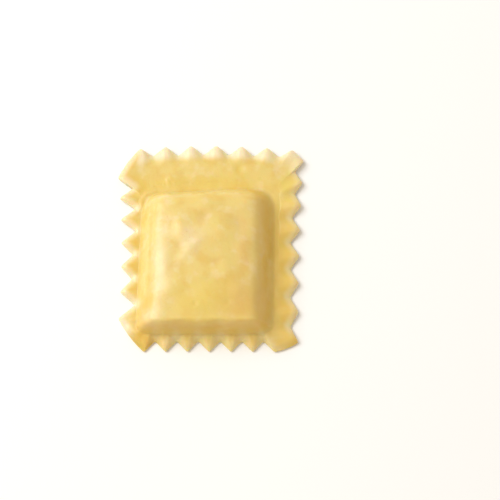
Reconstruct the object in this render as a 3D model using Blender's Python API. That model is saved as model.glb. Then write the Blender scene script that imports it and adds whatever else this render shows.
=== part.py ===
"""A raviolo: one pillow of filled egg pasta in a flat rim with a zigzag cut edge.

It lies on its flat underside, +Z up, with its origin under the middle of its
outline. Lengths are in millimetres until the mesh is made, which is in metres.
"""

import bpy
import bmesh
from math import cos, pi, sin
from mathutils import Vector

MM = 0.001
NAME = "raviolo"

# Each side of the cut edge, anticlockwise seen from above: its first and last
# tooth tip, the depth of each notch between, how far its middle bows outwards,
# and how much wider its first teeth are than its last ones.
SIDES = {
    "near": ((-16.1, -27.35), (15.9, -27.35), (2.8, 2.8, 2.8, 2.8, 2.8, 2.8), 0.0, 0.0),
    "right": ((21.8, -24.9), (23.7, 23.2), (2.0, 2.2, 2.2, 2.4, 2.2, 1.8, 2.1), -0.4, 0.15),
    "far": ((20.7, 26.35), (-18.1, 26.65), (2.2, 2.4, 2.4, 2.4, 2.5, 2.2), 0.9, 0.0),
    "left": ((-23.7, 18.5), (-22.6, -18.8), (3.7, 3.8, 3.7, 3.0, 2.9, 3.9), -1.1, -0.12),
}
HALF_WIDTH = 23.5
HALF_LENGTH = 27.2
TOOTH_ROUNDING = 0.7
# The four corners are cut straight across, bulging by a share of their length.
CORNER_BULGE = 0.045
CORNER_PITCH = 2.5

# The foot of the pillow, which sits off centre in the rim, anticlockwise from
# its near left corner, and how far each wall leans in before it is flat.
PILLOW_FOOT = ((-18.3, -23.4), (15.8, -23.4), (16.4, 16.0), (-17.4, 14.3))
WALL_RUN = {"left": 3.9, "right": 5.6, "near": 2.2, "far": 3.6}
PILLOW_ROUNDING = 2.8

RIM_THICKNESS = 1.7
RIM_LIFT = 0.5
FLUTE_HEIGHT = 0.6
SHOULDER_HEIGHT = 8.0
WALL_BULGE = 0.25
DOME_RISE = 1.2

# Rings of the rim from the underside round the cut edge and inwards: how far in,
# at most what share of the way to the pillow, the height above the underside,
# and the flutes' share.
RIM_RINGS = (
    (0.3, 0.1, 0.0, 0.0),
    (0.0, 0.0, 0.35, 0.0),
    (0.1, 0.1, 0.7, 0.3),
    (1.2, 0.35, 1.4, 1.0),
    (3.2, 0.65, 1.6, 0.4),
)
WALL_RINGS = (0.0, 0.12, 0.3, 0.55, 0.8, 1.0)
DOME_RINGS = (1.5, 4.0, 8.0)
EVENING_PASSES = 6
SHARP_ANGLE = pi / 5

PASTA_COLOR = (0.86, 0.66, 0.25, 1.0)
PASTA_ROUGHNESS = 0.45


def clear_scene():
    for existing in list(bpy.data.objects):
        bpy.data.objects.remove(existing, do_unlink=True)


def side_corners(first, last, notches, bow, spread):
    """Corners of one side from tip to tip, each with 1 for a tip and 0 for a notch."""
    first, last = Vector(first), Vector(last)
    run = last - first
    outward = Vector((run.y, -run.x)).normalized()
    corners = []
    for step in range(2 * len(notches) + 1):
        share = step / (2 * len(notches))
        along = share + spread * share * (1 - share)
        out = 4 * bow * share * (1 - share)
        if step % 2:
            out -= notches[step // 2]
        corners.append((first + run * along + outward * out, 1 - step % 2))
    return corners


def corner_cut(last, first):
    """Points between one side's last tip and the next side's first, on a low arc."""
    run = first - last
    outward = Vector((run.y, -run.x)) * CORNER_BULGE
    count = int(run.length / CORNER_PITCH)
    points = []
    for step in range(1, count + 1):
        share = step / (count + 1)
        place = last + run * share + outward * 4 * share * (1 - share)
        points.append((place, 1))
    return points


def outline_corners():
    """Every corner of the cut edge, side after side, with the corner cuts between."""
    sides = [side_corners(*side) for side in SIDES.values()]
    corners = []
    for side, following in zip(sides, sides[1:] + sides[:1]):
        corners += side + corner_cut(side[-1][0], following[0][0])
    return corners


def cut_edge():
    """The zigzag outline with each corner rounded, and each point's tooth height."""
    corners = outline_corners()
    points = []
    for i, (corner, tip) in enumerate(corners):
        before = corners[i - 1][0]
        after = corners[(i + 1) % len(corners)][0]
        start = corner + (before - corner).normalized() * TOOTH_ROUNDING
        end = corner + (after - corner).normalized() * TOOTH_ROUNDING
        middle = (start + end) / 4 + corner / 2
        points += [(start, tip), (middle, tip), (end, tip)]
    return points


def pillow_corners(share, inset=0.0):
    """The pillow's outline at a share of its walls' lean, and an inset further in."""
    signs = ((1, 1), (-1, 1), (-1, -1), (1, -1))
    corners = []
    for (x, y), (sx, sy) in zip(PILLOW_FOOT, signs):
        run_x = WALL_RUN["left" if sx > 0 else "right"]
        run_y = WALL_RUN["near" if sy > 0 else "far"]
        corners.append(Vector((x + sx * (share * run_x + inset),
                               y + sy * (share * run_y + inset))))
    return corners


def nearest_on_loop(point, loop):
    """The nearest place to a point on a closed loop of straight lines."""
    best = None
    for a, b in zip(loop, loop[1:] + loop[:1]):
        along = (point - a).dot(b - a) / (b - a).length_squared
        place = a + (b - a) * min(max(along, 0.0), 1.0)
        if best is None or (place - point).length < (best - point).length:
            best = place
    return best


def pillow_point(point, share, inset):
    """The place on the round-cornered outline of the pillow nearest to a point."""
    core = nearest_on_loop(point, pillow_corners(share, inset + PILLOW_ROUNDING))
    return core + (point - core).normalized() * PILLOW_ROUNDING


def pillow_outline(edge, share, inset=0.0):
    """The pillow's outline with a place for each point of the cut edge, evened out."""
    places = [point for point, tooth in edge]
    for repeat in range(EVENING_PASSES):
        places = [pillow_point(place, share, inset) for place in places]
        neighbours = zip(places[-1:] + places[:-1], places, places[1:] + places[:1])
        places = [(before + 2 * place + after) / 4 for before, place, after in neighbours]
    return [pillow_point(place, share, inset) for place in places]


def underside_lift(point):
    """How far the rim's edge curls up: most on the far side, nothing at the near."""
    away = 0.5 + point.y / (2 * HALF_LENGTH)
    corner = abs(point.x * point.y / (HALF_WIDTH * HALF_LENGTH)) ** 3
    return RIM_LIFT * max(away, 0.0) * max(1 - corner, 0.0)


def rim_ring(edge, inset, share, height, flute):
    """One ring of the rim, between the cut edge and the pillow's foot."""
    ring = []
    for (point, tooth), foot in zip(edge, pillow_outline(edge, 0.0)):
        way = min(inset / (foot - point).length, share)
        place = point.lerp(foot, way)
        z = underside_lift(point) * (1 - way) + height
        z += FLUTE_HEIGHT * flute * (tooth - 0.5)
        ring.append((place.x, place.y, z))
    return ring


def pillow_ring(edge, share, inset, z):
    """One ring of the pillow at a height, on its wall or on the dome within."""
    return [(place.x, place.y, z) for place in pillow_outline(edge, share, inset)]


def wall_height(share):
    """The wall's height above the rim, steep at its foot and round at its shoulder."""
    rise = sin(share * pi / 2) * (1 + WALL_BULGE * (1 - share))
    return RIM_THICKNESS + (SHOULDER_HEIGHT - RIM_THICKNESS) * rise


def dome_height(inset):
    """The height of the low dome at a distance in from the pillow's shoulder."""
    return SHOULDER_HEIGHT + DOME_RISE * (1 - cos(inset / DOME_RINGS[-1] * pi)) / 2


def raviolo_rings():
    """All rings, from the flat seat round the cut edge and up to the dome."""
    edge = cut_edge()
    rings = [pillow_ring(edge, 0.0, 0.0, 0.0)]
    rings += [rim_ring(edge, *ring) for ring in RIM_RINGS]
    rings += [pillow_ring(edge, share, 0.0, wall_height(share)) for share in WALL_RINGS]
    rings += [pillow_ring(edge, 1.0, inset, dome_height(inset)) for inset in DOME_RINGS]
    return rings


def loft(rings):
    """A closed mesh through the rings, capped flat at its first and last one."""
    mesh = bmesh.new()
    loops = [[mesh.verts.new([value * MM for value in place]) for place in ring]
             for ring in rings]
    for lower, upper in zip(loops, loops[1:]):
        for i in range(len(lower)):
            j = (i + 1) % len(lower)
            mesh.faces.new((lower[i], lower[j], upper[j], upper[i]))
    mesh.faces.new(list(reversed(loops[0])))
    mesh.faces.new(loops[-1])
    bmesh.ops.recalc_face_normals(mesh, faces=mesh.faces)
    bmesh.ops.triangulate(mesh, faces=mesh.faces)
    return mesh


def pasta_material():
    material = bpy.data.materials.new("egg_pasta")
    material.use_nodes = True
    shader = material.node_tree.nodes["Principled BSDF"]
    shader.inputs["Base Color"].default_value = PASTA_COLOR
    shader.inputs["Roughness"].default_value = PASTA_ROUGHNESS
    shader.inputs["Metallic"].default_value = 0.0
    return material


def build_raviolo():
    mesh = bpy.data.meshes.new(NAME)
    shape = loft(raviolo_rings())
    shape.to_mesh(mesh)
    shape.free()
    mesh.materials.append(pasta_material())
    mesh.shade_smooth()
    mesh.set_sharp_from_angle(angle=SHARP_ANGLE)
    raviolo = bpy.data.objects.new(NAME, mesh)
    group = bpy.data.collections.new(NAME)
    bpy.context.scene.collection.children.link(group)
    group.objects.link(raviolo)
    return raviolo


clear_scene()
build_raviolo()
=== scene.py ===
# %% [markdown]
# # A raviolo on a pale table
#
# A raviolo is two thin sheets of egg pasta laid over each other with a spoonful
# of filling between. The sheets are pressed together all round, and a zigzag
# cutter trims the rim. This lesson models one from a flat outline inwards, ring
# by ring, then pushes the surface about as the filling and the cutter do.

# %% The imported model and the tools
import math

import bmesh
import bpy
import numpy as np
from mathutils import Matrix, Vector, noise


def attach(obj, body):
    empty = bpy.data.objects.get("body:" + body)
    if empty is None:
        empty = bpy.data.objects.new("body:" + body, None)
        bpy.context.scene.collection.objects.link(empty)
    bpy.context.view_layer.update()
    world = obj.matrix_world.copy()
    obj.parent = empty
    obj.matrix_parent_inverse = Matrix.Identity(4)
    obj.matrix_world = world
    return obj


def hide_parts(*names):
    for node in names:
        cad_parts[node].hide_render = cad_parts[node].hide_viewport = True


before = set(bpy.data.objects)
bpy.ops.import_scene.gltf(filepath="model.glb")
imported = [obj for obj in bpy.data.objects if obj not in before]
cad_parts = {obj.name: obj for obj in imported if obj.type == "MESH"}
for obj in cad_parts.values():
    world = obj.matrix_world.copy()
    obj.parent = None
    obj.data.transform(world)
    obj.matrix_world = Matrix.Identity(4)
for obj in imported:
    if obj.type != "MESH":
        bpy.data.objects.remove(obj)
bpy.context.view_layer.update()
MM = 0.001

# %% [markdown]
# ## The camera
#
# The raviolo lies flat, so the camera looks down on it steeply. A long lens far
# away keeps the teeth at the near and the far edge about the same size. The
# raviolo stands left of the middle of the picture, so the camera aims at a
# point to its right and needs no shift.

# %% The camera looks down from the front
CAMERA_HEIGHT_ANGLE = math.radians(70)
CAMERA_DISTANCE = 0.4167
CAMERA_LENS = 120
AIM = Vector((0.0099, -0.0009, 0.001))

camera_data = bpy.data.cameras.new("long_lens")
camera_data.lens = CAMERA_LENS
camera_data.sensor_width = 36
camera_data.clip_start = 0.01
camera = bpy.data.objects.new("camera_above", camera_data)
bpy.context.scene.collection.objects.link(camera)
backwards = Vector((0, -math.cos(CAMERA_HEIGHT_ANGLE), math.sin(CAMERA_HEIGHT_ANGLE)))
camera.location = AIM + backwards * CAMERA_DISTANCE
camera.rotation_euler = backwards.to_track_quat("Z", "Y").to_euler()
bpy.context.scene.camera = camera
print("camera at", camera.location)

# %% [markdown]
# ## The outline
#
# Each side of the rim is a row of teeth. A side is described by its first and
# last tip, the depth of each notch between them, how far its middle bows out
# and how much wider its first teeth are. A straight cut joins the sides at each
# corner. All lengths are in millimetres until a mesh is made.

# %% The corners of the zigzag
SIDES = {
    "near": ((-16.1, -27.35), (15.9, -27.35), (2.8, 2.8, 2.8, 2.8, 2.8, 2.8), 0.0, 0.0),
    "right": ((21.8, -24.9), (23.7, 23.2), (2.0, 2.2, 2.2, 2.4, 2.2, 1.8, 2.1), -0.4, 0.15),
    "far": ((20.7, 26.35), (-18.1, 26.65), (2.2, 2.4, 2.4, 2.4, 2.5, 2.2), 0.9, 0.0),
    "left": ((-23.7, 18.5), (-22.6, -18.8), (3.7, 3.8, 3.7, 3.0, 2.9, 3.9), -0.75, -0.12),
}
HALF_WIDTH = 23.5
HALF_LENGTH = 27.2
CORNER_BULGE = 0.045
CORNER_PITCH = 2.5
CORNER_CREST = 0.8


def side_corners(first, last, notches, bow, spread):
    """Corners of one side from tip to tip, each with 1 for a tip and 0 for a notch."""
    first, last = Vector(first), Vector(last)
    run = last - first
    outward = Vector((run.y, -run.x)).normalized()
    corners = []
    for step in range(2 * len(notches) + 1):
        share = step / (2 * len(notches))
        along = share + spread * share * (1 - share)
        out = 4 * bow * share * (1 - share)
        if step % 2:
            out -= notches[step // 2]
        corners.append((first + run * along + outward * out, 1 - step % 2))
    return corners


def corner_cut(last, first):
    """Points between one side's last tip and the next side's first, on a low arc."""
    run = first - last
    outward = Vector((run.y, -run.x)) * CORNER_BULGE
    count = int(run.length / CORNER_PITCH)
    points = []
    for step in range(1, count + 1):
        share = step / (count + 1)
        points.append((last + run * share + outward * 4 * share * (1 - share), CORNER_CREST))
    return points


sides = [side_corners(*side) for side in SIDES.values()]
corners = []
for side, following in zip(sides, sides[1:] + sides[:1]):
    corners += side + corner_cut(side[-1][0], following[0][0])
print(len(corners), "corners in the outline")

# %% [markdown]
# A flat circle with one vertex for each corner is the start. Its vertices are
# moved onto the zigzag, every corner is rounded with a vertex bevel, and the
# long flanks of the teeth are cut into shorter edges, so that the rings that
# grow from this outline have room to bend.

# %% The rounded outline
TOOTH_ROUNDING = 0.4
BEVEL_SEGMENTS = 3
LONGEST_ROUNDING_EDGE = 0.7
FLANK_CUTS = 2


def edit(piece):
    """Selects one object alone and opens it in edit mode, with nothing selected."""
    bpy.ops.object.select_all(action="DESELECT")
    piece.select_set(True)
    bpy.context.view_layer.objects.active = piece
    bpy.ops.object.mode_set(mode="EDIT")
    bpy.ops.mesh.select_all(action="DESELECT")
    return bmesh.from_edit_mesh(piece.data)


def close(piece):
    """Leaves edit mode."""
    bmesh.update_edit_mesh(piece.data)
    bpy.ops.object.mode_set(mode="OBJECT")


bpy.ops.object.select_all(action="DESELECT")
bpy.ops.mesh.primitive_circle_add(vertices=len(corners), radius=HALF_LENGTH * MM, fill_type="NGON")
raviolo = bpy.context.active_object
raviolo.name = "filled_pasta"
raviolo.data.name = "filled_pasta"
cage = edit(raviolo)
for vertex, (corner, tip) in zip(cage.verts, corners):
    vertex.co = Vector((corner.x, corner.y, 0)) * MM
bpy.ops.mesh.select_all(action="SELECT")
bpy.ops.mesh.bevel(affect="VERTICES", offset=TOOTH_ROUNDING * MM, segments=BEVEL_SEGMENTS)
bpy.ops.mesh.select_all(action="DESELECT")
cage = bmesh.from_edit_mesh(raviolo.data)
for edge in cage.edges:
    edge.select_set(edge.calc_length() > LONGEST_ROUNDING_EDGE * MM)
bpy.ops.mesh.subdivide(number_cuts=FLANK_CUTS)
bpy.ops.mesh.select_all(action="SELECT")
bpy.ops.mesh.delete(type="ONLY_FACE")
close(raviolo)
print("outline:", len(raviolo.data.vertices), "vertices")

# %% [markdown]
# Every vertex of the outline is the head of a column, which runs inwards over
# the rim to the pillow. The columns are numbered round the outline, and each
# one keeps its place on it, how near it is to a tip, and on which flank of its
# tooth it lies: towards 1 past the tip, going anticlockwise, and -1 before it.

# %% The columns


def ring_order(cage):
    """The vertices of a single closed loop of edges, in order, anticlockwise."""
    first = max(cage.verts, key=lambda vertex: vertex.co.x)
    around = [edge.other_vert(first) for edge in first.link_edges]
    ring = [first, max(around, key=lambda vertex: vertex.co.y)]
    while True:
        ways = [edge.other_vert(ring[-1]) for edge in ring[-1].link_edges]
        step = next(vertex for vertex in ways if vertex is not ring[-2])
        if step is first:
            return ring
        ring.append(step)


def tooth_height(place):
    """1 at a tooth's tip and 0 at a notch, in proportion along the flank between."""
    best, height = None, 0
    for (a, tip_a), (b, tip_b) in zip(corners, corners[1:] + corners[:1]):
        along = min(max((place - a).dot(b - a) / (b - a).length_squared, 0), 1)
        gap = (a.lerp(b, along) - place).length
        if best is None or gap < best:
            best, height = gap, tip_a + (tip_b - tip_a) * along
    return height


cage = edit(raviolo)
cage.verts.ensure_lookup_table()
column = cage.verts.layers.int.new("column")
ring = ring_order(cage)
for number, vertex in enumerate(ring):
    vertex[column] = number
outline = np.array([vertex.co[:2] for vertex in ring]) / MM
close(raviolo)
crests = np.array([tooth_height(Vector(place)) for place in outline])
facings = np.roll(crests, 2) - np.roll(crests, -2)
facings /= np.abs(facings).max()
signed_area = np.cross(outline, np.roll(outline, -1, 0)).sum() / 2
print(len(outline), "columns, area inside", round(signed_area), "square mm")

# %% [markdown]
# The filling sits off the middle of the sheet, so the pillow has an outline of its
# own: a four-sided shape with round corners. Its points are always laid out the
# same way, so many along each side and so many round each corner. The same
# function draws the foot of the walls, their shoulder and every ring between.

# %% The outline of the pillow
PILLOW_FOOT = ((-18.3, -23.4), (15.8, -23.4), (16.4, 16.0), (-17.4, 14.3))
WALL_RUN = {"left": 3.9, "right": 5.6, "near": 2.2, "far": 3.6}
PILLOW_ROUNDING = 2.8
SIDE_SAMPLES = 200
CORNER_SAMPLES = 40


def pillow_loop(share, inset=0.0):
    """The pillow's outline at a share of its walls' lean, and an inset further in."""
    loop = []
    cores = []
    signs = ((1, 1), (-1, 1), (-1, -1), (1, -1))
    for (x, y), (sx, sy) in zip(PILLOW_FOOT, signs):
        run_x = share * WALL_RUN["left" if sx > 0 else "right"] + inset + PILLOW_ROUNDING
        run_y = share * WALL_RUN["near" if sy > 0 else "far"] + inset + PILLOW_ROUNDING
        cores.append(np.array((x + sx * run_x, y + sy * run_y)))
    for number, core in enumerate(cores):
        before, after = core - cores[number - 1], cores[(number + 1) % 4] - core
        turn_in = math.atan2(-before[0], before[1])
        turn_out = math.atan2(-after[0], after[1])
        turn_out += 2 * math.pi * (turn_out < turn_in)
        for angle in np.linspace(turn_in, turn_out, CORNER_SAMPLES, endpoint=False):
            loop.append(core + PILLOW_ROUNDING * np.array((math.cos(angle), math.sin(angle))))
        outward = PILLOW_ROUNDING * np.array((after[1], -after[0])) / np.hypot(*after)
        for along in np.linspace(0, 1, SIDE_SAMPLES, endpoint=False):
            loop.append(core + after * along + outward)
    return np.array(loop)


foot_loop = pillow_loop(0.0)
print("pillow's foot:", len(foot_loop), "points from", foot_loop.min(0), "to", foot_loop.max(0))

# %% [markdown]
# A column meets every ring of the pillow at the same share of the way round, which
# keeps the columns straight up the walls. Each takes the nearest place on the foot
# first. The steps between them are then averaged with their neighbours', because
# the zigzag would otherwise bunch them up opposite the tips.

# %% Where each column meets the pillow
EVENING_COLUMNS = 15


def smooth_round(values, width):
    """Averages a closed ring of values over a window of so many columns."""
    window = np.hanning(2 * width + 3)[1:-1]
    wrapped = np.concatenate((values[-width:], values, values[:width]))
    return np.convolve(wrapped, window / window.sum(), "valid")


def column_shares(foot):
    """Each column's place along the pillow's foot, with the spacing evened out."""
    gaps = np.linalg.norm(outline[:, None] - foot[None], axis=2)
    nearest = np.argmin(gaps, 1).astype(float)
    steps = (np.diff(nearest, append=nearest[:1]) + len(foot) / 2) % len(foot) - len(foot) / 2
    even = smooth_round(steps, EVENING_COLUMNS)
    shares = nearest[0] + np.concatenate(([0], np.cumsum(even)[:-1]))
    drift = np.mean((nearest - shares + len(foot) / 2) % len(foot) - len(foot) / 2)
    return (shares + drift) % len(foot)


def pillow_ring(share, inset=0.0):
    """The place of every column on one ring of the pillow."""
    loop = pillow_loop(share, inset)
    wrapped = np.vstack((loop, loop[:1]))
    counts = np.arange(len(wrapped))
    return np.stack([np.interp(shares, counts, wrapped[:, axis]) for axis in (0, 1)], 1)


shares = column_shares(foot_loop)
foot_ring = pillow_ring(0.0)
rim_widths = np.linalg.norm(foot_ring - outline, axis=1)
print("rim is", rim_widths.min().round(2), "to", rim_widths.max().round(2), "mm wide")

# %% [markdown]
# The raviolo is a stack of rings. A ring of the rim is given by how far in it
# lies, the largest share of the rim's width that this may be, and its height. A
# ring of the wall is given by its share of the way to the shoulder. The rings lie
# close together where the shape turns most. Each function also gives how far up
# its column a ring is: 0 at the cut edge, 1 at the pillow's foot, 2 at its shoulder.

# %% The heights of the rim, the walls and the top
RIM_THICKNESS = 1.7
RIM_LIFT = 0.5
SHOULDER_HEIGHT = 8.0
WALL_BULGE = 0.25
LIP_RINGS = ((0.04, 0.02, 0.2), (0.3, 0.1, 0.0), (1.2, 0.4, 0.0), (3.0, 0.7, 0.0))
RIM_RINGS = (
    (0.0, 0.0, 0.75), (0.12, 0.05, 1.02), (0.38, 0.12, 1.24), (0.8, 0.22, 1.38),
    (1.4, 0.33, 1.48), (2.1, 0.44, 1.55), (2.9, 0.53, 1.6), (3.8, 0.61, 1.63),
    (4.7, 0.68, 1.65), (5.6, 0.74, 1.67), (6.5, 0.79, 1.68), (7.4, 0.84, 1.69),
    (8.3, 0.88, 1.7), (9.2, 0.92, 1.7), (10.1, 0.96, 1.7),
)
WALL_RINGS = (0.0, 0.06, 0.14, 0.24, 0.36, 0.5, 0.66, 0.83, 1.0)
TOP_RINGS = (0.9, 2.0)
TOP_WAY = 2.2
SEAT_RINGS = (0.0, 4.0)


def underside_lift(places):
    """How far the rim's edge curls up: most on the far side, nothing at the near."""
    away = np.maximum(0.5 + places[:, 1] / (2 * HALF_LENGTH), 0)
    corner = np.abs(places[:, 0] * places[:, 1] / (HALF_WIDTH * HALF_LENGTH)) ** 3
    return RIM_LIFT * away * np.maximum(1 - corner, 0)


def rim_ring(inset, most, height):
    """One ring of the rim, an inset in from the cut edge but not past a share of the way."""
    way = np.minimum(inset / rim_widths, most)[:, None]
    places = outline + (foot_ring - outline) * way
    heights = height + underside_lift(outline)[:, None] * (1 - way)
    return np.hstack((places, heights)), way[:, 0]


def wall_ring(share):
    """One ring of the wall, steep at its foot and round at its shoulder."""
    rise = math.sin(share * math.pi / 2) * (1 + WALL_BULGE * (1 - share))
    height = RIM_THICKNESS + (SHOULDER_HEIGHT - RIM_THICKNESS) * rise
    places = pillow_ring(share)
    return np.hstack((places, np.full((len(places), 1), height))), np.full(len(places), 1 + share)


def flat_ring(share, inset, height, way):
    """One level ring, inside the shoulder above or inside the foot underneath."""
    places = pillow_ring(share, inset)
    return np.hstack((places, np.full((len(places), 1), height))), np.full(len(places), way)


print("rings:", len(RIM_RINGS), "on the rim,", len(WALL_RINGS), "up the wall")

# %% [markdown]
# Now the outline is extruded, as one would by hand: extrude the selected ring of
# edges, then place the new ring on its columns, and again. The extrusion copies
# what each vertex keeps, so every new vertex knows its column.

# %% Growing one ring from another


def place_ring(piece, ring):
    """Puts the selected vertices on their columns."""
    places, ways = ring
    cage = bmesh.from_edit_mesh(piece.data)
    column, way = cage.verts.layers.int["column"], cage.verts.layers.float["way"]
    for vertex in cage.verts:
        if vertex.select:
            vertex.co = Vector(places[vertex[column]]) * MM
            vertex[way] = ways[vertex[column]]
    bmesh.update_edit_mesh(piece.data)


def grow_rings(piece, rings):
    """Extrudes the selected ring of edges once for each new ring."""
    for ring in rings:
        bpy.ops.mesh.extrude_edges_move()
        place_ring(piece, ring)


cage = edit(raviolo)
for name in ("way", "crest", "facing"):
    cage.verts.layers.float.new(name)
print("each vertex keeps:", cage.verts.layers.float.keys())

# %% [markdown]
# The zigzag itself becomes the first ring, a little above the table, low on the cut
# edge. From there the rings run up the cut edge, inwards over the rim, up the walls
# and a short way onto the top.

# %% Rings over the rim and up the walls
LIP_HEIGHT = 0.42

crest, facing = (cage.verts.layers.float[name] for name in ("crest", "facing"))
column = cage.verts.layers.int["column"]
for vertex in cage.verts:
    vertex[crest], vertex[facing] = crests[vertex[column]], facings[vertex[column]]
bpy.ops.mesh.select_all(action="SELECT")
place_ring(raviolo, rim_ring(0, 0, LIP_HEIGHT))
grow_rings(raviolo, [rim_ring(*ring) for ring in RIM_RINGS])
grow_rings(raviolo, [wall_ring(share) for share in WALL_RINGS])
grow_rings(raviolo, [flat_ring(1.0, inset, SHOULDER_HEIGHT, TOP_WAY) for inset in TOP_RINGS])
cage = bmesh.from_edit_mesh(raviolo.data)
print("rings up to the top:", len(cage.verts) // len(outline))

# %% [markdown]
# The opening in the middle of the top is closed with a grid of even squares. It
# is the part that the filling pushes up, so it needs the most room for lumps.
# Underneath, a few rings lead in from the lip to the flat seat.

# %% The top and the underside


def column_towards(place, ring):
    """The column whose vertex on a ring is nearest to a place."""
    return int(np.argmin(np.linalg.norm(ring - np.array(place), axis=1)))


top_ring = pillow_ring(1.0, TOP_RINGS[-1])
first_column = column_towards((-20, -30), top_ring)
last_column = column_towards((20, -30), top_ring)
across = (last_column - first_column) % len(outline)
print("columns along the near side of the top:", across)
column = cage.verts.layers.int["column"]
cage.select_history.clear()
for vertex in cage.verts:
    if vertex.select and vertex[column] == first_column:
        cage.select_history.add(vertex)
bpy.ops.mesh.fill_grid(span=across, offset=0)
cage = bmesh.from_edit_mesh(raviolo.data)
way = cage.verts.layers.float["way"]
for vertex in cage.verts:
    if vertex.select:
        vertex[way] = TOP_WAY
bpy.ops.mesh.select_all(action="DESELECT")
for edge in cage.edges:
    edge.select_set(edge.is_boundary)
bmesh.update_edit_mesh(raviolo.data)
grow_rings(raviolo, [rim_ring(*ring) for ring in LIP_RINGS])
grow_rings(raviolo, [flat_ring(0.0, inset, 0.0, 0.0) for inset in SEAT_RINGS])
bpy.ops.mesh.select_all(action="SELECT")
bpy.ops.mesh.normals_make_consistent(inside=False)
close(raviolo)
print("cage:", len(raviolo.data.polygons), "faces")

# %% [markdown]
# One level of subdivision doubles the rings and columns and rounds the shape.
# The level is applied, so that the dents and lumps that follow can be pushed
# straight into the finished mesh. The seat is closed only afterwards: it is one
# flat face with a vertex for every column, and a face with so many sides takes
# very long to subdivide.

# %% Round the cage and close the seat
rounding = raviolo.modifiers.new("rounding", "SUBSURF")
rounding.levels = rounding.render_levels = 1
bpy.ops.object.modifier_apply(modifier=rounding.name)
cage = edit(raviolo)
for edge in cage.edges:
    edge.select_set(edge.is_boundary)
bpy.ops.mesh.edge_face_add()
bpy.ops.mesh.select_all(action="SELECT")
bpy.ops.mesh.normals_make_consistent(inside=False)
close(raviolo)
print("rounded:", len(raviolo.data.polygons), "faces")

# %% [markdown]
# ## Pushing the surface about
#
# The rounded mesh is now treated like clay. Every vertex of the upper side gets
# a push up or down, worked out from its place: the dome over the filling, the
# flutes that the cutter pressed into the rim, then lumps, dents and creases.
# A mask keeps the pushes off the underside, all but the dome's rise, which lifts its middle a little.

# %% The places of all the vertices
mesh = raviolo.data


def read_layer(name, components=1):
    """One number or place per vertex, as an array."""
    values = np.empty(len(mesh.vertices) * components)
    source, key = (mesh.vertices, "co") if name == "co" else (mesh.attributes[name].data, "value")
    source.foreach_get(key, values)
    return values.reshape(-1, components) if components > 1 else values


def smooth_step(values, low, high):
    """0 below the low value, 1 above the high one and an even curve between."""
    share = np.clip((values - low) / (high - low), 0, 1)
    return share * share * (3 - 2 * share)


places = read_layer("co", 3) / MM
ways, heads = read_layer("way"), read_layer("crest")
x, y, z = places.T
above = smooth_step(z, 0.5, 1.3)
pillow = smooth_step(ways, 0.98, 1.35)
on_top = smooth_step(ways, 1.7, 2.1)
push = np.zeros(len(places))
print("vertices:", len(places), "ways", ways.min(), ways.max())

# %% [markdown]
# The pillow is soft: a small hollow at its foot, wider on the right, a steep wall
# and a long round shoulder. Each wall has its own reach, from its foot to where it
# is flat. A vertex's share of the way in is taken from the walls on both axes
# together, which rounds the corners.

# %% The soft pillow
SHOULDER_REACH = {"left": 6.8, "right": 7.3, "near": 2.8, "far": 6.8}
SHOULDER_ROUNDNESS = 3.1
CORNER_SQUARENESS = 2.5
FOOT_HOLLOW = (0.12, 0.36)
HOLLOW_WIDENS = (3, 12)
PILLOW_RISE = 6.1


def way_out(start, end, reach):
    """1 on one line of the pillow's foot and 0 at the wall's reach or further in."""
    (ax, ay), (bx, by) = start, end
    inward = ((bx - ax) * (y - ay) - (by - ay) * (x - ax)) / math.hypot(bx - ax, by - ay)
    return np.clip(1 - inward / reach, 0, None)


near_left, near_right, far_right, far_left = PILLOW_FOOT
outward_x = np.maximum(way_out(far_left, near_left, SHOULDER_REACH["left"]),
                       way_out(near_right, far_right, SHOULDER_REACH["right"]))
outward_y = np.maximum(way_out(near_left, near_right, SHOULDER_REACH["near"]),
                       way_out(far_right, far_left, SHOULDER_REACH["far"]))
outward = outward_x ** CORNER_SQUARENESS + outward_y ** CORNER_SQUARENESS
outward = outward ** (1 / CORNER_SQUARENESS)
inward = np.clip(1 - outward, 0, 1)
hollow = FOOT_HOLLOW[0] + (FOOT_HOLLOW[1] - FOOT_HOLLOW[0]) * smooth_step(x, *HOLLOW_WIDENS)
inward = np.sqrt(inward ** 2 + hollow ** 2) - hollow
inward /= np.sqrt(1 + hollow ** 2) - hollow
swell = 1 - (1 - inward) ** SHOULDER_ROUNDNESS
upper = (z > 1.2) & (ways >= 0.8)
z = np.where(upper, np.minimum(z, RIM_THICKNESS) + PILLOW_RISE * swell, z)
print("pillow height:", z.max().round(2), "mm")

# %% [markdown]
# The cutter's wheel leaves a ridge from every tip and a valley from every notch.
# They are strongest at the cut edge and die out a few millimetres in. How far in
# a vertex lies is measured from the line that joins the tips. Two corners are
# flatter than the rest. The near rim stands up a little at the pillow's foot and
# droops to the table at its teeth.

# %% Flutes
FLUTE_HEIGHT = 0.9
FLUTE_REACH = (1.2, 6.0)
FLUTE_LEVEL = 0.62
FLAT_CORNERS = ((19.6, 20.0, 4, 4, 0, 0.75), (-19.5, -23.5, 4, 4, 0, 0.4))
EDGE_DROP = 0.25
EDGE_WIDTH = 1.6
NEAR_ROOT = 0.4
NEAR_DROOP = 0.6
LOW_CORNER = (-19.5, -23.5, 4.5, 5.0, 0)
LOW_CORNER_DEPTH = 0.6


def bump(cx, cy, reach_x, reach_y, turn):
    """1 in the middle of an oval spot, falling softly to 0 outside it."""
    c, s = math.cos(math.radians(turn)), math.sin(math.radians(turn))
    u = ((x - cx) * c + (y - cy) * s) / reach_x
    v = ((y - cy) * c - (x - cx) * s) / reach_y
    return np.exp(-(u * u + v * v))


def spots(table):
    """A table of bumps added up, each with its strength as the last number."""
    return sum(strength * bump(*spot) for *spot, strength in table)


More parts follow.
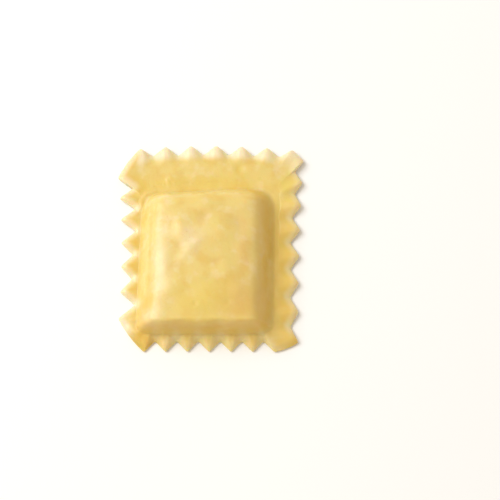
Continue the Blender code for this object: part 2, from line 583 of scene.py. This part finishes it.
def gap_to_line(ends):
    """The distance of every vertex to a line of straight pieces, in plan."""
    gap = np.full(len(places), np.inf)
    for (ax, ay), (bx, by) in zip(ends, ends[1:]):
        run = np.array((bx - ax, by - ay))
        along = np.clip(((x - ax) * run[0] + (y - ay) * run[1]) / run.dot(run), 0, 1)
        gap = np.minimum(gap, np.hypot(ax + run[0] * along - x, ay + run[1] * along - y))
    return gap


tips = [tuple(place) for place, tip in corners if tip > 0.5]
from_tips = gap_to_line(tips + tips[:1])
flute = 1 - smooth_step(from_tips, *FLUTE_REACH)
flute *= 1 - spots(FLAT_CORNERS)
wave = 0.5 - 0.5 * np.cos(np.pi * np.clip(heads, 0, 1))
push += above * (1 - pillow) * FLUTE_HEIGHT * flute * (wave - FLUTE_LEVEL)
push -= above * EDGE_DROP * (1 - smooth_step(from_tips, 0, EDGE_WIDTH))
near_side = smooth_step(-y, 20.5, 27.5)
push += above * (NEAR_ROOT * smooth_step(-y, 20, 23) - (NEAR_ROOT + NEAR_DROOP) * near_side)
push -= above * (1 - pillow) * LOW_CORNER_DEPTH * bump(*LOW_CORNER)
print("fluted vertices:", int((flute > 0.5).sum()))

# %% [markdown]
# The filling lifts the top into a low dome. On it the pieces of filling show as
# soft lumps, and between them the dough sinks. Each is one round or oval bump:
# its place, its reach along and across, its turn in degrees and its height.

# %% Dome, lumps and dents
DOME_RISE = 1.25
DOME_CENTRE = (-1.7, -4.9)
DOME_REACH = (15, 19.5)
DOME_FLATNESS = (2.1, 2.3)
LUMPINESS = 0.75
LUMPS = (
    (-7.1, 2.2, 1.6, 2.8, 10, 0.4), (-4.8, -3.4, 1.5, 2.6, -35, 0.2), (-3.2, -1.3, 0.9, 0.9, 0, 0.16),
    (2.7, 1.1, 3.0, 2.6, 0, 0.38), (4.1, -9.6, 2.6, 2.4, 0, 0.34), (0.5, -15.8, 3.2, 2.0, 0, 0.3),
    (8.6, 8.6, 2.4, 1.8, 0, 0.35), (6.9, -13.8, 2.2, 2.0, 0, 0.25), (-11.0, -6.5, 1.6, 7.0, 0, 0.25),
    (-1.2, 8.6, 3.6, 1.7, 0, 0.25), (-8.6, -12.5, 2.6, 2.0, 30, 0.22), (8.4, -3.6, 1.4, 2.6, 0, 0.22),
)
DENTS = (
    (-7.6, -2.4, 1.3, 1.1, 0, 0.16), (-1.4, 5.0, 2.2, 1.3, 20, 0.28), (1.5, -6.8, 1.2, 0.9, 0, 0.2),
    (7.1, 3.6, 2.4, 1.6, -20, 0.35), (-3.5, -17.4, 0.7, 0.7, 0, 0.15), (4.5, -16.9, 0.8, 0.8, 0, 0.15),
    (-7.3, 19.3, 1.6, 1.0, 0, 0.25), (7.1, 20.7, 1.3, 1.3, 0, 0.35), (-0.3, -11.2, 1.6, 1.0, 10, 0.2),
)

across_top = np.abs(x - DOME_CENTRE[0]) / DOME_REACH[0]
along_top = np.abs(y - DOME_CENTRE[1]) / DOME_REACH[1]
dome = np.clip(1 - across_top ** DOME_FLATNESS[0], 0, 1)
dome *= np.clip(1 - along_top ** DOME_FLATNESS[1], 0, 1)
push += DOME_RISE * dome
push += above * LUMPINESS * (spots(LUMPS) - spots(DENTS))
print("lumps:", len(LUMPS), "dents:", len(DENTS))

# %% [markdown]
# Where the sheet was folded down over the filling it creased. A crease is a thin
# raised line along a few straight pieces: its points, its width and its height. A
# height below nothing makes a groove.

# %% Creases
CREASES = (
    (((-17.2, -18.0), (-17.0, -8.0), (-16.7, 2.0), (-16.3, 8.5)), 0.55, -0.1),
    (((-15.1, -19.0), (-14.8, -8.0), (-14.6, 1.0), (-14.2, 9.0)), 0.5, -0.3),
    (((-17.6, 10.0), (-17.4, 12.4), (-16.2, 14.0), (-14.2, 14.8)), 0.55, 0.14),
    (((-14.6, -19.4), (-16.2, -21.2), (-17.4, -22.6)), 0.8, 0.06),
    (((-13.8, -19.8), (-14.4, -22.0), (-14.8, -23.6)), 0.6, 0.1),
    (((-12.8, -19.6), (-11.8, -21.6), (-11.2, -23.0)), 0.6, 0.1),
    (((-11.6, -19.0), (-8.8, -20.2), (-6.6, -21.4)), 0.8, 0.08),
    (((-16.0, -18.4), (-17.6, -19.0), (-19.2, -19.6)), 0.7, 0.1),
    (((-7.3, -6.4), (-5.4, -3.9), (-4.6, -2.4), (-3.2, -1.3)), 1.1, 0.06),
    (((-10.5, 16.3), (-11.0, 17.0), (-10.9, 17.9), (-10.3, 18.3)), 0.45, 0.12),
    (((-5.0, 17.9), (-4.2, 18.5)), 0.5, 0.1),
)
for points, width, height in CREASES:
    fade = np.exp(-(gap_to_line(points) / width) ** 2)
    push += above * height * fade
print("creases:", len(CREASES), "push from", push.min().round(2), "to", push.max().round(2))

# %% [markdown]
# Hand-rolled dough is never even. Three sizes of noise make it swell, ripple and
# pit a little. The noise is worked out from each vertex's place, so it comes out
# the same each time. Each row is a size, a height and a shift of the noise. The
# ripples of the walls are worked out here too, while the heights are still even.

# %% Uneven dough
UNEVENNESS = ((6.0, 0.16, 3.0), (2.4, 0.045, 17.0), (0.9, 0.012, 41.0))
FINE_RIPPLE = (1.7, 23.0)
BROAD_RIPPLE = (5.0, 29.0)
BROAD_RIPPLE_SHARE = 3


def dough_noise(size, seed):
    """Smooth noise between about -1 and 1 whose swells are so many millimetres wide."""
    shift = Vector((seed, seed * 1.7, seed * 0.6))
    return np.array([noise.noise(Vector(place) / size + shift) for place in places])


for size, height, seed in UNEVENNESS:
    push += above * height * dough_noise(size, seed)
wall_ripple = dough_noise(*FINE_RIPPLE) + BROAD_RIPPLE_SHARE * dough_noise(*BROAD_RIPPLE)
wall_ripple *= smooth_step(ways, 1.0, 1.4) * (1 - on_top)
places[:, 2] = z + push
print("height now", places[:, 2].max().round(2), "mm")

# %% [markdown]
# The walls are too steep for pushes up and down to show, so they are rippled
# sideways instead, away from the middle of the pillow.

# %% Rippled walls
WALL_RIPPLE = 0.12

away = np.stack((x - DOME_CENTRE[0], y - DOME_CENTRE[1]), 1)
away /= np.linalg.norm(away, axis=1)[:, None]
places[:, :2] += away * (WALL_RIPPLE * wall_ripple)[:, None]
mesh.vertices.foreach_set("co", (places * MM).ravel())
mesh.update()
print("ripples up to", np.abs(WALL_RIPPLE * wall_ripple).max().round(2), "mm")

# %% [markdown]
# ## What the material needs to know
#
# The colour changes with the place on the raviolo, so each vertex keeps a few
# masks. The edge that the cutter pressed is thin and pale, in a narrow band all
# round and in a broad lobe on each of the far teeth. Part of this cream is painted
# light: a lobe reaches further on the flank that faces the window, and two corner
# teeth get a painted highlight. The band is weaker on the right and near sides,
# and mostly gone at the near left corner: painted shade.

# %% Mask for the pale edge, with painted light and shade
FAR_SIDE = (19, 23)
FAR_TEETH_WIDTH = 19
FAR_TEETH_MIDDLE = -0.5
LIT_FLANK_SHARE = 1.3
LOBE_REACH = (2.4, 4.8)
BAND_REACH = (0.3, 2.2)
# The band is weaker on the right and near sides, away from the window: painted shade.
BAND_STRENGTH, RIGHT_BAND_SHADE, NEAR_BAND_SHADE = 0.75, 0.35, 0.5
# Painted highlights on two corner teeth, and painted shade that takes the pale edge off the near left
# corner.
PALE_AND_LIT_CORNERS = ((20.6, 24.2, 2.6, 2.8, 0, 0.7), (-21.4, -20.6, 1.8, 1.5, -20, 0.6))
SHADED_NEAR_CORNER = (-17.0, -26.5, 4.0, 4.0, 0, 0.9)


def write_layer(name, values):
    """Keeps one number per vertex for the material."""
    layer = mesh.attributes.new(name, "FLOAT", "POINT")
    layer.data.foreach_set("value", np.clip(values, 0, 1).astype(np.float32))


cut_line = [tuple(place) for place, tip in corners]
from_cut = gap_to_line(cut_line + cut_line[:1])
along_far_side = FAR_TEETH_WIDTH - np.abs(x - FAR_TEETH_MIDDLE)
far_teeth = smooth_step(y, *FAR_SIDE) * smooth_step(along_far_side, 0, 2)
# Painted light: a far tooth's lobe reaches further on the flank that the window lights.
lit_flank = np.clip(read_layer("facing"), 0, 1)
far_lobes = np.clip(wave + LIT_FLANK_SHARE * lit_flank, 0, 1)
far_lobes *= far_teeth * (1 - smooth_step(from_tips, *LOBE_REACH))
cut_band = 1 - smooth_step(from_cut, *BAND_REACH)
cut_band *= (BAND_STRENGTH - RIGHT_BAND_SHADE * smooth_step(x, 17, 21)
             - NEAR_BAND_SHADE * smooth_step(-y, 22, 24.5))
pale_edge_and_light = np.maximum(far_lobes, cut_band) + spots(PALE_AND_LIT_CORNERS)
# Painted shade: the near left corner loses most of its pale edge.
pale_edge_and_light *= 1 - spots([SHADED_NEAR_CORNER])
write_layer("pale_edge_and_light", pale_edge_and_light)
print("pale edge on", int((pale_edge_and_light > 0.5).sum()), "vertices")

# %% [markdown]
# This mask paints shade. The sides away from the window are painted a deeper gold:
# the right and near walls, the right rim and the near left corner, with a stripe
# down the groove of the left wall and two places on the left rim. Light and shade
# alone leave them too pale, so the mask deepens them. Each spot is its place, its
# reach along and across, its turn and its strength. Three of them count on the rim
# alone, and two everywhere.

# %% Mask for painted shade on the walls and rims
RIGHT_RIM_SHADE = 0.5
SHADED_SPOTS = ((8.0, -16.5, 4.5, 4.5, 0, 0.5), (-14.6, -5.0, 0.5, 13, 0, 0.45))
SHADED_RIM_SPOTS = (
    (-17.0, -25.4, 4.5, 3.8, 0, 1.8), (-19.2, -2, 1.3, 13, 0, 0.4), (-18.4, 16, 2.6, 3, -30, 0.4),
)

steep = swell * (1 - swell) * 4
right_rim = smooth_step(x, 14, 17.5) * smooth_step(14 - y, 0, 6) * (1 - pale_edge_and_light)
# Painted shade on the steep right and near walls.
painted_shade = steep * np.maximum(smooth_step(x, 6, 12), smooth_step(-y, 12, 19))
painted_shade += RIGHT_RIM_SHADE * right_rim
painted_shade += spots(SHADED_SPOTS) + (1 - pillow) * spots(SHADED_RIM_SPOTS)
write_layer("painted_shade", painted_shade)
print("shade up to", painted_shade.max().round(2))

# %% [markdown]
# Last come the spots of colour: a richer yellow, painted highlights of pale cream
# on the left shoulder and on parts of the top, and tan where the filling shows
# through the thinnest dough, with two tan spots of painted shade on the right and
# near right of the top. A narrow line round the pillow's foot is painted a little
# darker as shade, in the crease where the upper sheet turns up over the filling.

# %% Masks for rich spots, painted highlights, filling and painted shade
RICH_SPOTS = (
    (-1.0, -16.5, 11.0, 5.0, 0), (-18.2, 15.6, 2.6, 3.2, -30), (-12.6, 16.6, 2.2, 1.2, 10),
    (19.6, 16.0, 2.0, 3.6, 0), (7.1, 20.6, 1.6, 1.4, 0), (-19.4, -1.0, 1.4, 12.0, 0),
    (-17.5, -23.5, 4.0, 3.0, 0), (1.0, 17.0, 11.0, 2.0, 0), (18.5, -4.0, 2.6, 17.0, 0),
)
# Painted highlights: the left shoulder, a glinting streak, the near left corner of the pillow and one
# glint.
HIGHLIGHT_SPOTS = (
    (-11.7, -7.5, 2.3, 11.0, 0), (-4.0, -1.9, 2.2, 4.6, -25), (-14.5, -20.0, 2.6, 2.0, 0),
    (-5.9, 1.0, 1.8, 2.0, 0),
)
# These two tan spots are painted shade on the right and near right of the top; the dents add the
# filling's tan.
TAN_SHADE_SPOTS = ((8.2, -3.0, 1.8, 8.0, 0, 0.8), (8.0, -16.5, 4.5, 4.5, 0, 0.8))
THIN_DENTS = DENTS[:4]
THIN_DENT_SHARE = 0.6
# Painted shade along the crease at the pillow's foot.
FOOT_SHADE_PLACE, FOOT_SHADE_WIDTH = 1.02, 0.14

filling_and_shade = THIN_DENT_SHARE * sum(bump(*spot) for *spot, depth in THIN_DENTS) + spots(TAN_SHADE_SPOTS)
write_layer("foot_crease_shade", np.exp(-((ways - FOOT_SHADE_PLACE) / FOOT_SHADE_WIDTH) ** 2))
write_layer("filling_and_shade", filling_and_shade)
write_layer("rich", sum(bump(*spot) for spot in RICH_SPOTS))
write_layer("painted_highlight", sum(bump(*spot) for spot in HIGHLIGHT_SPOTS))
print("masks:", [layer.name for layer in mesh.attributes])

# %% [markdown]
# ## Egg pasta
#
# Cooked egg dough is a warm yellow that light sinks into and comes out of again,
# so the shader scatters light under the surface. Its colour drifts from a deep
# gold to a pale cream at the thin cut edge, with soft clouds and fine specks. The
# deep gold on the walls away from the window and along the pillow's foot is
# painted shade, and part of the cream is painted light. A thin film of cooking
# water makes a soft shine.
#
# The clouds are a node group, so they can be used in one finish after another
# with other sizes. It gives a mask that drifts slowly between 0 and 1.

# %% A group for soft clouds


def soft_clouds():
    """A group: noise at a size, spread between two levels into a mask."""
    group = bpy.data.node_groups.new("soft_clouds", "ShaderNodeTree")
    for name, start in (("Size", 300.0), ("Detail", 3.0), ("Low", 0.4), ("High", 0.6)):
        socket = group.interface.new_socket(name, in_out="INPUT", socket_type="NodeSocketFloat")
        socket.default_value = start
    group.interface.new_socket("Mask", in_out="OUTPUT", socket_type="NodeSocketFloat")
    nodes, links = group.nodes, group.links
    given, result = nodes.new("NodeGroupInput"), nodes.new("NodeGroupOutput")
    coordinates = nodes.new("ShaderNodeTexCoord")
    cloud = nodes.new("ShaderNodeTexNoise")
    spread = nodes.new("ShaderNodeMapRange")
    spread.interpolation_type = "SMOOTHSTEP"
    links.new(coordinates.outputs["Object"], cloud.inputs["Vector"])
    links.new(given.outputs["Size"], cloud.inputs["Scale"])
    links.new(given.outputs["Detail"], cloud.inputs["Detail"])
    links.new(cloud.outputs["Fac"], spread.inputs["Value"])
    links.new(given.outputs["Low"], spread.inputs["From Min"])
    links.new(given.outputs["High"], spread.inputs["From Max"])
    links.new(spread.outputs["Result"], result.inputs["Mask"])
    return group


clouds = soft_clouds()
print("group:", clouds.name, "with", len(clouds.nodes), "nodes")

# %% [markdown]
# The pasta is painted like a picture: a colour laid over another through a mask.
# Three small functions keep that short. One uses the cloud group, one reads a mask
# from the vertices and one lays a colour over what is there.

# %% The material and its small helpers
egg_pasta = bpy.data.materials.new("egg_pasta_cooked")
egg_pasta.use_nodes = True
nodes, links = egg_pasta.node_tree.nodes, egg_pasta.node_tree.links
shader = nodes["Principled BSDF"]


def cloud_mask(size, detail, low, high):
    """One use of the cloud group in the pasta, with its own sizes."""
    node = nodes.new("ShaderNodeGroup")
    node.node_tree = clouds
    for name, value in (("Size", size), ("Detail", detail), ("Low", low), ("High", high)):
        node.inputs[name].default_value = value
    return node.outputs["Mask"]


def vertex_mask(name):
    """A mask that the vertices keep."""
    node = nodes.new("ShaderNodeAttribute")
    node.attribute_name = name
    return node.outputs["Fac"]


def times(a, b):
    """Two masks multiplied, or a mask made weaker by a number."""
    node = nodes.new("ShaderNodeMath")
    node.operation = "MULTIPLY"
    for socket, value in zip(node.inputs, (a, b)):
        if isinstance(value, (int, float)):
            socket.default_value = value
        else:
            links.new(value, socket)
    return node.outputs[0]


MIX_COLOUR_INPUTS = (0, 6, 7)
MIX_COLOUR_OUTPUT = 2


def tint(under, colour, mask):
    """Lays a colour over another where a mask is 1."""
    node = nodes.new("ShaderNodeMix")
    node.data_type = "RGBA"
    factor, base, over = (node.inputs[slot] for slot in MIX_COLOUR_INPUTS)
    if isinstance(under, tuple):
        base.default_value = under
    else:
        links.new(under, base)
    over.default_value = colour
    links.new(mask, factor)
    return node.outputs[MIX_COLOUR_OUTPUT]


print("material:", egg_pasta.name)

# %% [markdown]
# The colours go on from the broadest to the finest: clouds of gold and cream over
# the whole dough, then the masks of the places, then fine darker specks. Each mask
# is made weaker by a number.

# %% The layers of colour
DOUGH = (0.80, 0.62, 0.21, 1)
# Deep gold also serves as painted shade on the walls and along the pillow's foot.
DEEP_GOLD = (0.73, 0.45, 0.06, 1)
RICH_YELLOW = (0.79, 0.59, 0.12, 1)
CREAM = (0.90, 0.77, 0.53, 1)
# Tan for the filling showing through and for painted shade.
FILLING_AND_SHADE_TAN = (0.74, 0.46, 0.19, 1)
SPECK = (0.62, 0.36, 0.12, 1)

colour = tint(DOUGH, DEEP_GOLD, times(cloud_mask(210, 3, 0.42, 0.72), 0.45))
colour = tint(colour, CREAM, times(cloud_mask(330, 2, 0.5, 0.75), 0.3))
colour = tint(colour, RICH_YELLOW, times(vertex_mask("rich"), 0.6))
# Painted shade along the crease at the pillow's foot.
colour = tint(colour, DEEP_GOLD, times(vertex_mask("foot_crease_shade"), 0.15))
# Painted shade: a deeper gold on the walls and rims away from the window.
colour = tint(colour, DEEP_GOLD, times(vertex_mask("painted_shade"), 0.7))
# Tan of the filling in the dents, and painted shade on the right and near right of the top.
colour = tint(colour, FILLING_AND_SHADE_TAN, times(vertex_mask("filling_and_shade"), 0.4))
# Painted highlights of pale cream on the left shoulder and the top.
colour = tint(colour, CREAM, times(vertex_mask("painted_highlight"), 0.42))
# The pale cut edge, with painted light on lit flanks and corners and painted shade on the right, near
# and near left sides.
colour = tint(colour, CREAM, times(vertex_mask("pale_edge_and_light"), 0.95))
colour = tint(colour, SPECK, times(cloud_mask(2600, 2, 0.66, 0.74), 0.25))
links.new(colour, shader.inputs["Base Color"])
print("material:", egg_pasta.name, "with", len(nodes), "nodes")

# %% [markdown]
# Light goes up to about two millimetres into the dough and comes out warmer,
# because red travels furthest. The film of water is a thin coat over a rougher
# skin, whose roughness drifts with another cloud.

# %% Light in the dough and the wet shine
ROUGHNESS = (0.36, 0.52)

shader.inputs["Subsurface Weight"].default_value = 0.5
shader.inputs["Subsurface Radius"].default_value = (1.0, 0.55, 0.2)
shader.inputs["Subsurface Scale"].default_value = 0.002
shader.inputs["IOR"].default_value = 1.4
shader.inputs["Coat Weight"].default_value = 0.25
shader.inputs["Coat Roughness"].default_value = 0.24

shine = nodes.new("ShaderNodeMapRange")
links.new(cloud_mask(420, 4, 0.35, 0.65), shine.inputs["Value"])
shine.inputs["To Min"].default_value, shine.inputs["To Max"].default_value = ROUGHNESS
links.new(shine.outputs["Result"], shader.inputs["Roughness"])
print("roughness from", *ROUGHNESS)

# %% [markdown]
# The skin of the dough has a fine grain from the flour and the rolling pin. It is
# too small to model, so two bump nodes make it from noise.

# %% The grain of the dough
GRAINS = ((800, 0.00003), (2600, 0.00001))

coordinates = nodes.new("ShaderNodeTexCoord")
normal = None
for size, depth in GRAINS:
    grain = nodes.new("ShaderNodeTexNoise")
    grain.inputs["Scale"].default_value = size
    grain.inputs["Detail"].default_value = 4
    links.new(coordinates.outputs["Object"], grain.inputs["Vector"])
    relief = nodes.new("ShaderNodeBump")
    relief.inputs["Distance"].default_value = depth
    relief.inputs["Strength"].default_value = 0.8
    links.new(grain.outputs["Fac"], relief.inputs["Height"])
    if normal is not None:
        links.new(normal, relief.inputs["Normal"])
    normal = relief.outputs["Normal"]
links.new(normal, shader.inputs["Normal"])
raviolo.data.materials.append(egg_pasta)
bpy.ops.object.select_all(action="DESELECT")
raviolo.select_set(True)
bpy.context.view_layer.objects.active = raviolo
bpy.ops.object.shade_smooth()
print("material:", egg_pasta.name, "with", len(nodes), "nodes")

# %% [markdown]
# ## Table and light
#
# The table is plain white, so nothing but the raviolo has a colour. It is large,
# so that its edge stays far away from the raviolo.

# %% The table
bpy.ops.object.select_all(action="DESELECT")
bpy.ops.mesh.primitive_plane_add(size=6)
table = bpy.context.active_object
table.name = "white_table"
table_white = bpy.data.materials.new("table_white")
table_white.use_nodes = True
table_shader = table_white.node_tree.nodes["Principled BSDF"]
table_shader.inputs["Base Color"].default_value = (0.96, 0.96, 0.96, 1)
table_shader.inputs["Roughness"].default_value = 0.8
table.data.materials.append(table_white)
print("table:", table.name, "with", table_white.name)

# %% [markdown]
# A large soft lamp stands high behind the left side, like a window, so the left
# walls shine and the right and near ones fall into a golden shade. The sky is pale
# and a little warm, and fills the shade.

# %% The lamp and the sky
WINDOW_PLACE = (-0.56, 0.22, 0.68)
WINDOW_SIZE, WINDOW_POWER = 0.6, 6.5
WINDOW_COLOUR = (0.95, 0.985, 1.0)
SKY_COLOUR = (1.0, 0.91, 0.79, 1)
SKY_STRENGTH = 0.62


def soft_lamp(name, place, target, size, power, colour):
    """A square lamp that faces a point."""
    data = bpy.data.lights.new(name, "AREA")
    data.size, data.energy, data.color = size, power, colour
    lamp = bpy.data.objects.new(name, data)
    bpy.context.scene.collection.objects.link(lamp)
    lamp.location = place
    facing = Vector(place) - Vector(target)
    lamp.rotation_euler = facing.to_track_quat("Z", "Y").to_euler()


soft_lamp("window", WINDOW_PLACE, (0, 0, 0), WINDOW_SIZE, WINDOW_POWER, WINDOW_COLOUR)
world = bpy.data.worlds.new("pale_sky")
world.use_nodes = True
sky = world.node_tree.nodes["Background"]
sky.inputs["Color"].default_value = SKY_COLOUR
sky.inputs["Strength"].default_value = SKY_STRENGTH
bpy.context.scene.world = world
bpy.context.scene.view_settings.view_transform = "Standard"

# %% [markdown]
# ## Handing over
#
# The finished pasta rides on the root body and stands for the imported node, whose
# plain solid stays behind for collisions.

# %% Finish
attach(raviolo, "root")
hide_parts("raviolo")
